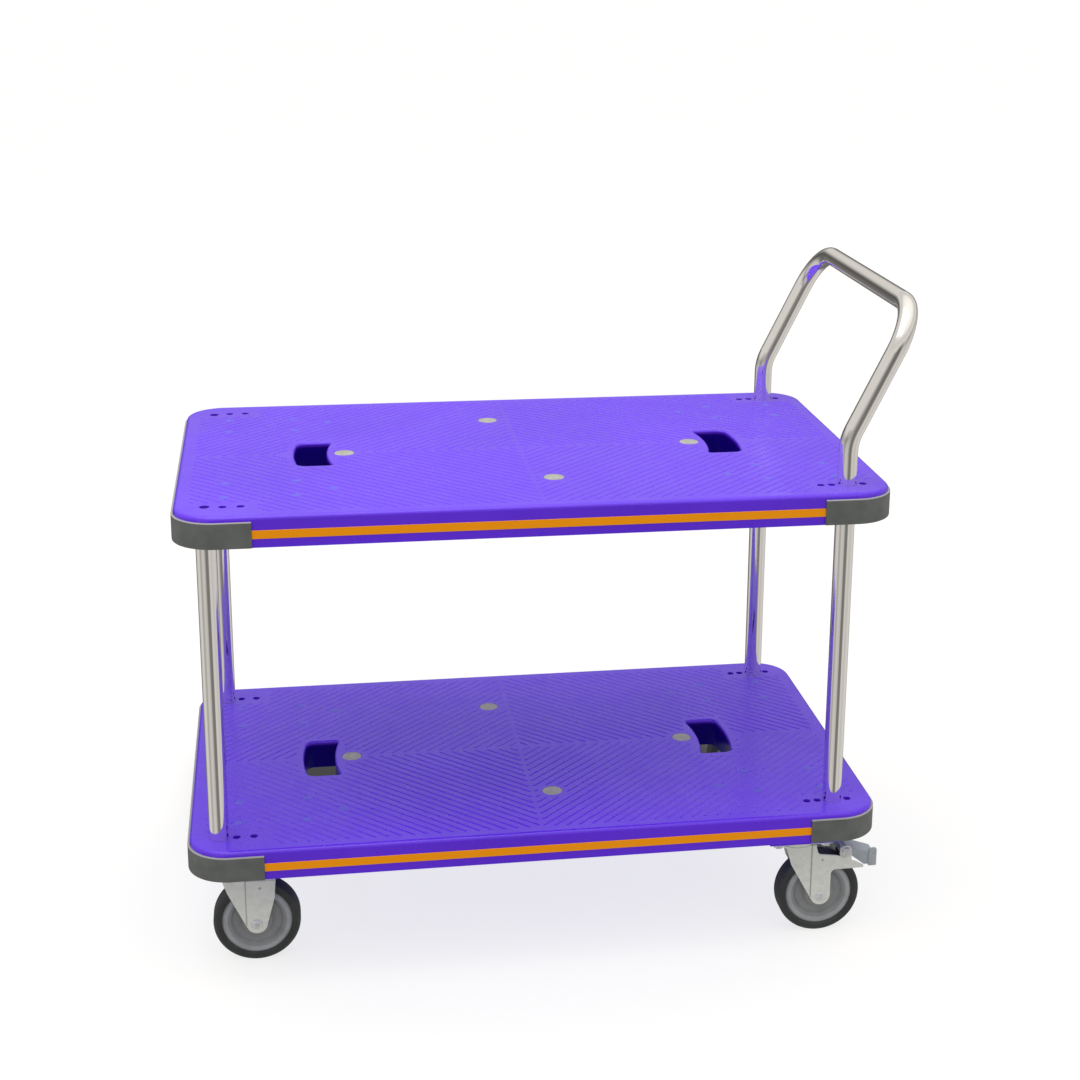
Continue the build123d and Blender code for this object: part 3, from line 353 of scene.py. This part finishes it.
def shoe_rubber():
    s = Shader("shoe_rubber")
    base = s.blend(s.noise(150.0, 4.0), (0.016, 0.016, 0.016, 1), (0.04, 0.04, 0.04, 1))
    return s.finish(Base_Color=base, Roughness=0.75, Normal=s.bump(s.noise(900.0), 0.4, 0.0004))


def ejector_blue():
    """Pale bluish rubbed skin of the ejector marks on the deck tops."""
    s = Shader("ejector_mark")
    base = s.blend(s.noise(500.0, 4.0), (0.125, 0.085, 0.86, 1), (0.16, 0.14, 0.88, 1))
    return s.finish(Base_Color=base, Roughness=0.4, Normal=s.bump(s.noise(1500.0), 0.3, 0.0002))


finishes = {
    "purple_plastic": deck_plastic(),
    "bumper_plastic": bumper_plastic(),
    "stripe_plastic": stripe_plastic(),
    "plug_plastic": plug_plastic(),
    "chromed_tube": chromed_tube(),
    "zinc_casting": cast_zinc(),
    "black_steel": black_steel(),
    "zinc_steel": zinc("zinc_steel", (0.84, 0.86, 0.88), 0.22, 0.36, metal=0.35),
    "zinc_sheet": zinc("zinc_sheet", (0.93, 0.98, 0.93), 0.42, 0.55, metal=0.05, painted_fork_shade=fork_painted_shade_mask),
    "pedal_steel": zinc("pedal_steel", (0.58, 0.65, 0.72), 0.26, 0.38),
    "shoe_rubber": shoe_rubber(),
    "hub_plastic": hub_plastic("hub_plastic", (0.31, 0.325, 0.345)),
    "tyre_rubber": tyre_rubber(),
}
for entry in frame["record"]["subparts"]:
    mesh = frame["nodes"][entry["node"]].data
    mesh.materials.clear()
    mesh.materials.append(finishes[entry["material_slot"]])


# ---------------------------------------------------------------- mesh helpers


def new_piece(name, vertices, faces, finish, body, smooth=False, paint=None):
    """A mesh piece that rides on a body and takes a record slot's finish, or a variant of it."""
    mesh = bpy.data.meshes.new(name)
    mesh.from_pydata(vertices, [], faces)
    mesh.validate()
    mesh.update()
    made = bmesh.new()
    made.from_mesh(mesh)
    bmesh.ops.recalc_face_normals(made, faces=made.faces)
    made.to_mesh(mesh)
    made.free()
    if smooth:
        mesh.shade_smooth()
        mesh.set_sharp_from_angle(angle=math.radians(40))
    piece = bpy.data.objects.new(name, mesh)
    bpy.context.scene.collection.objects.link(piece)
    mesh.materials.append(paint or finishes[finish])
    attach(piece, body)
    return piece


def ring_mesh(centre, profile, count=96):
    """A closed ring round the Y axis through centre; profile holds (along Y, radius) corners in order."""
    vertices, faces = [], []
    rows = len(profile)
    for step in range(count):
        angle = 2 * math.pi * step / count
        for along, radius in profile:
            vertices.append(centre + Vector((radius * math.cos(angle), along, radius * math.sin(angle))))
        for row in range(rows):
            here = step * rows + row
            beside = step * rows + (row + 1) % rows
            over = (step + 1) % count * rows
            faces.append((here, beside, over + (row + 1) % rows, over + row))
    return vertices, faces


SUNK = 0.1 * MM  # how far a raised detail's foot goes into the plastic below it


def disc_mesh(centre, radius, height, count=28):
    """A low disc with a bevelled edge and a slightly sunk middle."""
    vertices, faces = [], []
    rows = ((1.0, -SUNK), (0.93, height), (0.62, height), (0.5, 0.6 * height))
    for share, up in rows:
        for step in range(count):
            angle = 2 * math.pi * step / count
            across = Vector((math.cos(angle), math.sin(angle), 0)) * share * radius
            vertices.append(centre + across + Vector((0, 0, up)))
    for row in range(len(rows) - 1):
        here, inside = row * count, (row + 1) * count
        for step in range(count):
            after = (step + 1) % count
            faces.append((here + step, here + after, inside + after, inside + step))
    faces.append(tuple(range((len(rows) - 1) * count, len(rows) * count)))
    faces.append(tuple(reversed(range(count))))
    return vertices, faces


def joined(parts):
    """One list of vertices and faces from several."""
    vertices, faces = [], []
    for some_vertices, some_faces in parts:
        start = len(vertices)
        vertices += some_vertices
        faces += [tuple(start + index for index in face) for face in some_faces]
    return vertices, faces


def both_faces(centre, profile):
    """The ring on both faces of a wheel; profile holds (along the axle, radius) in millimetres."""
    rings = []
    for face in (-1, 1):
        rings.append(ring_mesh(centre, [(face * along * MM, radius * MM) for along, radius in profile]))
    return joined(rings)


# ---------------------------------------------------------------- raised details of the deck tops

# places from the deck's middle, the same in its four corners
EJECTOR_SPOTS = [(0.430, 0.140), (0.430, 0.206), (0.331, 0.137), (0.333, 0.207), (0.280, 0.180)]
EJECTOR_R = 6.5 * MM
EJECTOR_HIGH = 0.35 * MM
ejectors_at = [(sx * x, sy * y) for x, y in EJECTOR_SPOTS for sx in (-1, 1) for sy in (-1, 1)]

RIB_STEP = 13.0 * MM  # between ribs, across them
RIB_BASE = 2.3 * MM  # half width at the foot
RIB_CREST = 0.9 * MM  # half width at the top
RIB_HIGH = 0.75 * MM
BORDER = 20.0 * MM  # plain band inside the deck's edge
BORDER_CORNER = 42.0 * MM
PLAIN_STRIP = 3.5 * MM  # half the plain strip where the ribs meet
PLUG_CLEAR = 22.0 * MM
PLUG_SPREAD = 40.0 * MM  # vertices closer together than this belong to one plug
EJECTOR_CLEAR = 8.0 * MM
HOLE_RIM = 21.0 * MM
HOLE_ZONE_HALF = 74.0 * MM  # along Y
CORNER_ZONE_LONG = 112.0 * MM  # from the deck's end
CORNER_ZONE_IN = 18.0 * MM  # from a tube's middle
SHORTEST_RIB = 8.0 * MM
END_TAPER = 1.6 * MM
WALK = 1.0 * MM  # step along a rib line while looking for its plain places


def inside_border(x, y):
    """True inside the plain band along the deck's edge, which has round corners."""
    half_x = deck_size.x / 2 - BORDER - BORDER_CORNER
    half_y = deck_size.y / 2 - BORDER - BORDER_CORNER
    over_x, over_y = abs(x) - half_x, abs(y) - half_y
    if over_x > BORDER_CORNER or over_y > BORDER_CORNER:
        return False
    return over_x < 0 or over_y < 0 or math.hypot(over_x, over_y) < BORDER_CORNER


def corner_zone(x, y):
    """True beside a tube, where the wells and sockets leave the top plain."""
    return abs(y) >= tube_row - CORNER_ZONE_IN and abs(x) > deck_size.x / 2 - CORNER_ZONE_LONG


def hole_zone(x, y):
    """True in and round a hand hole; the plain rim is widest at the hole's middle."""
    across = abs(y) / HOLE_ZONE_HALF
    rim = HOLE_RIM * (1 - 0.5 * across**2)
    return across < 1 and any(abs(x - hole_x) < half + rim for hole_x, half in hole_spans)


def rib_here(x, y, plugs):
    """True where the deck's top carries ribs; x and y are from the deck's middle."""
    if not inside_border(x, y) or corner_zone(x, y):
        return False
    if abs(x) < PLAIN_STRIP or abs(y) < PLAIN_STRIP:
        return False
    if hole_zone(x, y) or any(math.hypot(x - mx, y - my) < EJECTOR_CLEAR for mx, my in ejectors_at):
        return False
    return all(math.hypot(x - px, y - py) > PLUG_CLEAR for px, py in plugs)


def rib_runs(plugs):
    """Start and end of every rib: nested diamonds round the deck's middle, cut at the plain places."""
    runs = []
    reach = deck_size.x / 2 + deck_size.y / 2
    step = RIB_STEP * math.sqrt(2)
    for index in range(1, int(reach / step) + 1):
        size = index * step
        for sign_x in (-1, 1):
            for sign_y in (-1, 1):
                start = None
                count = int(size / WALK)
                for n in range(count + 1):
                    along = size * n / count
                    x, y = sign_x * (size - along), sign_y * along
                    free = rib_here(x, y, plugs)
                    if free and start is None:
                        start = (x, y)
                    if start is not None and (not free or n == count):
                        if math.hypot(x - start[0], y - start[1]) > SHORTEST_RIB:
                            runs.append((start, (x, y)))
                        start = None
    return runs


def rib_mesh(runs, origin, top):
    """One low bar with a rounded crest and sloped ends for each run."""
    vertices, faces = [], []
    for (x0, y0), (x1, y1) in runs:
        along = Vector((x1 - x0, y1 - y0, 0)).normalized()
        across = Vector((-along.y, along.x, 0))
        foot = len(vertices)
        taper = along * END_TAPER
        for point, inward in ((Vector((x0, y0, 0)), taper), (Vector((x1, y1, 0)), -taper)):
            base = origin + point
            base.z = top
            for side, height, shift in (
                (-RIB_BASE, -SUNK, 0),
                (-RIB_CREST, 0.8 * RIB_HIGH, 1),
                (0, RIB_HIGH, 1),
                (RIB_CREST, 0.8 * RIB_HIGH, 1),
                (RIB_BASE, -SUNK, 0),
            ):
                vertices.append(base + across * side + inward * shift + Vector((0, 0, height)))
        for n in range(5):
            m = (n + 1) % 5
            faces.append((foot + n, foot + m, foot + 5 + m, foot + 5 + n))
        faces.append(tuple(foot + n for n in range(4, -1, -1)))
        faces.append(tuple(foot + 5 + n for n in range(5)))
    return vertices, faces


def plug_places(deck):
    """Centres of the round plugs, relative to the deck's middle, from the plugs' own mesh."""
    mesh = frame["nodes"][f"{deck}_deck_plugs"].data
    places = []
    for vertex in mesh.vertices:
        flat = Vector((vertex.co.x - deck_middle[deck].x, vertex.co.y))
        for place in places:
            if (flat - place["sum"] / place["count"]).length < PLUG_SPREAD:
                place["sum"] += flat
                place["count"] += 1
                break
        else:
            places.append({"sum": flat, "count": 1})
    return [tuple(place["sum"] / place["count"]) for place in places]


# ---------------------------------------------------------------- pieces: ejector marks

mark_paint = ejector_blue()
for deck in DECKS:
    marks = []
    for x, y in ejectors_at:
        centre = Vector((deck_middle[deck].x + x, y, deck_top[deck]))
        marks.append(disc_mesh(centre, EJECTOR_R, EJECTOR_HIGH))
    new_piece(f"{deck}_ejector_marks", *joined(marks), "purple_plastic", "frame", paint=mark_paint)


# ---------------------------------------------------------------- pieces: raised rings on hubs and tyres

# corners of each ring's section: along the axle from the wheel's middle and radius, both in millimetres
HUB_RING = ((13.2, 41.4), (14.0, 42.2), (14.0, 47.6), (13.0, 48.6), (12.6, 48.6), (12.6, 41.4))
HUB_LIP = ((8.8, 33.6), (9.6, 34.0), (9.6, 34.9), (8.8, 35.3))
TYRE_LINES = (
    ((15.3, 53.6), (15.75, 53.9), (15.75, 54.5), (15.3, 54.8)),
    ((15.3, 55.9), (15.6, 56.1), (15.6, 56.5), (15.3, 56.7)),
)

ring_paint = hub_plastic("hub_ring", (0.42, 0.45, 0.49))
for end in ("front", "rear"):
    for side in SIDES:
        wheel = f"{end}_{side}"
        centre = middle(f"{wheel}_tyre")
        body = f"{wheel}_wheel"
        rings = both_faces(centre, HUB_RING)
        new_piece(f"{wheel}_hub_rings", *rings, "hub_plastic", body, True, ring_paint)
        new_piece(f"{wheel}_hub_lips", *both_faces(centre, HUB_LIP), "hub_plastic", body, True)
        lines = joined(both_faces(centre, line) for line in TYRE_LINES)
        new_piece(f"{wheel}_tyre_lines", *lines, "tyre_rubber", body, True)


# ---------------------------------------------------------------- pieces: tread ribs

tread_runs = rib_runs(plug_places("upper"))
for deck in DECKS:
    origin = Vector((deck_middle[deck].x, deck_middle[deck].y, 0))
    vertices, faces = rib_mesh(tread_runs, origin, deck_top[deck])
    new_piece(f"{deck}_tread_ribs", vertices, faces, "purple_plastic", "frame")


# ---------------------------------------------------------------- camera, light, floor

SENSOR = 36.0  # millimetres, like the lens
LENS = 64.327
LENS_SHIFT = (-0.060519, -0.077)  # shares of the sensor's width
CAMERA_PLACE = (-0.34045, -2.76987, 1.47482)  # from the deck's middle line, on the floor
CAMERA_YAW = math.radians(9.67)
CAMERA_PITCH = math.radians(15.79)
CAMERA_ROLL = math.radians(-0.73)


def make_camera():
    data = bpy.data.cameras.new("camera")
    data.sensor_width = SENSOR
    data.lens = LENS
    data.shift_x, data.shift_y = LENS_SHIFT
    camera = bpy.data.objects.new("camera", data)
    bpy.context.scene.collection.objects.link(camera)
    level = math.cos(CAMERA_PITCH)
    forward = Vector((math.sin(CAMERA_YAW) * level, math.cos(CAMERA_YAW) * level, -math.sin(CAMERA_PITCH)))
    right = forward.cross(Vector((0, 0, 1))).normalized()
    down = forward.cross(right)
    turned_right = right * math.cos(CAMERA_ROLL) + down * math.sin(CAMERA_ROLL)
    turned_down = -right * math.sin(CAMERA_ROLL) + down * math.cos(CAMERA_ROLL)
    rows = Matrix((turned_right, -turned_down, -forward)).transposed()
    place = Vector(CAMERA_PLACE) + Vector((deck_middle["upper"].x, 0, 0))
    camera.matrix_world = Matrix.Translation(place) @ rows.to_4x4()
    bpy.context.scene.camera = camera


# the trolley's painted soft shadow on the floor, under its far half and behind it
SHADOW_MIDDLE = (0.02, 0.37)  # from the deck's middle
SHADOW_CORE = (0.33, 0.05)
SHADOW_REACH = (0.62, 0.34)


def make_floor():
    """A white floor that only the camera sees, with the trolley's shadow painted on it; the world below the
    horizon lights the object instead.
    """
    mesh = bpy.data.meshes.new("floor")
    mesh.from_pydata([(-40, -40, 0), (40, -40, 0), (40, 40, 0), (-40, 40, 0)], [], [(0, 1, 2, 3)])
    floor = bpy.data.objects.new("floor", mesh)
    bpy.context.scene.collection.objects.link(floor)
    floor.visible_glossy = False
    floor.visible_diffuse = False
    s = Shader("floor_paint")
    off_x = s.maths("ABSOLUTE", s.maths("SUBTRACT", s.part("X"), deck_middle["lower"].x + SHADOW_MIDDLE[0]))
    off_y = s.maths("ABSOLUTE", s.maths("SUBTRACT", s.part("Y"), SHADOW_MIDDLE[1]))
    shade_x = s.spread(off_x, SHADOW_CORE[0], SHADOW_REACH[0], 1.0, 0.0)
    shade_y = s.spread(off_y, SHADOW_CORE[1], SHADOW_REACH[1], 1.0, 0.0)
    shade = s.maths("MULTIPLY", shade_x, shade_y)
    # painted shadow: less glow and a near-black base under and behind the trolley
    glow = s.spread(shade, 0.0, 1.0, 0.76, 0.05)
    base = s.blend(shade, (0.30, 0.30, 0.29, 1), (0.02, 0.02, 0.02, 1))
    paint = {"Base_Color": base, "Roughness": 1.0, "Specular_IOR_Level": 0.0}
    mesh.materials.append(s.finish(Emission_Color=(1, 1, 1, 1), Emission_Strength=glow, **paint))


def make_light(name, place, target, size, power):
    data = bpy.data.lights.new(name, "AREA")
    data.shape = "RECTANGLE"
    data.size, data.size_y = size
    data.energy = power
    light = bpy.data.objects.new(name, data)
    bpy.context.scene.collection.objects.link(light)
    light.location = place
    light.rotation_euler = (Vector(target) - Vector(place)).to_track_quat("-Z", "Y").to_euler()


# the room's brightness: by height, where 0 is straight down, 0.5 the horizon and 1 straight up, and by turn
# round the trolley below the horizon, where 0 is +Y and a quarter is +X
ROOM_BY_HEIGHT = (
    (0.00, 0.50),
    (0.40, 0.48),
    (0.47, 0.42),
    (0.52, 0.34),
    (0.58, 0.50),
    (0.66, 0.72),
    (0.74, 0.66),
    (0.85, 0.95),
    (1.00, 1.15),
)
ROOM_BY_TURN = (
    (0.000, 0.45),
    (0.050, 0.32),
    (0.090, 0.50),
    (0.140, 1.10),
    (0.250, 1.35),
    (0.330, 1.15),
    (0.400, 1.30),
    (0.440, 0.55),
    (0.485, 0.38),
    (0.520, 0.50),
    (0.560, 1.05),
    (0.620, 1.20),
    (0.680, 0.80),
    (0.750, 1.35),
    (0.830, 1.15),
    (0.880, 0.60),
    (0.930, 0.28),
    (0.970, 0.40),
    (1.000, 0.45),
)


def make_world():
    """A soft studio room: bright overhead, a darker horizon, and pale and dark flags round it near the floor."""
    world = bpy.data.worlds.new("studio")
    bpy.context.scene.world = world
    world.use_nodes = True
    tree = world.node_tree
    background = tree.nodes["Background"]

    def maths(operation, first, second=0.0):
        node = tree.nodes.new("ShaderNodeMath")
        node.operation = operation
        for socket, value in zip(node.inputs, (first, second)):
            if isinstance(value, bpy.types.NodeSocket):
                tree.links.new(value, socket)
            else:
                socket.default_value = value
        return node.outputs[0]

    def curve(value, stops):
        node = tree.nodes.new("ShaderNodeFloatCurve")
        points = node.mapping.curves[0].points
        top = max(height for _, height in stops)
        while len(points) < len(stops):
            points.new(0.5, 0.5)
        for point, (along, height) in zip(points, stops):
            point.location = (along, height / top)
        node.mapping.update()
        tree.links.new(value, node.inputs["Value"])
        return maths("MULTIPLY", node.outputs["Value"], top)

    coords = tree.nodes.new("ShaderNodeTexCoord").outputs["Generated"]
    split = tree.nodes.new("ShaderNodeSeparateXYZ")
    tree.links.new(coords, split.inputs["Vector"])
    height = maths("ADD", maths("MULTIPLY", split.outputs["Z"], 0.5), 0.5)
    turn = maths("DIVIDE", maths("ARCTAN2", split.outputs["X"], split.outputs["Y"]), 2 * math.pi)
    turn = maths("FRACT", maths("ADD", turn, 1.0))
    flags = curve(turn, ROOM_BY_TURN)
    fade = tree.nodes.new("ShaderNodeMapRange")
    fade.interpolation_type = "SMOOTHSTEP"
    tree.links.new(split.outputs["Z"], fade.inputs["Value"])
    for key, number in zip(("From Min", "From Max", "To Min", "To Max"), (0.02, 0.35, 1.0, 0.0)):
        fade.inputs[key].default_value = number
    weight = maths("MULTIPLY", maths("SUBTRACT", flags, 1.0), fade.outputs["Result"])
    brightness = maths("MULTIPLY", curve(height, ROOM_BY_HEIGHT), maths("ADD", weight, 1.0))
    tree.links.new(brightness, background.inputs["Strength"])
    background.inputs["Color"].default_value = (1.0, 0.965, 0.92, 1)


make_camera()
make_floor()
make_light("overhead", (-0.5, -0.4, 3.0), (0, 0, 0.5), (2.4, 2.0), 21)
make_world()

scene = bpy.context.scene
scene.view_settings.view_transform = "Standard"
scene.view_settings.look = "None"
scene.view_settings.exposure = 0.0
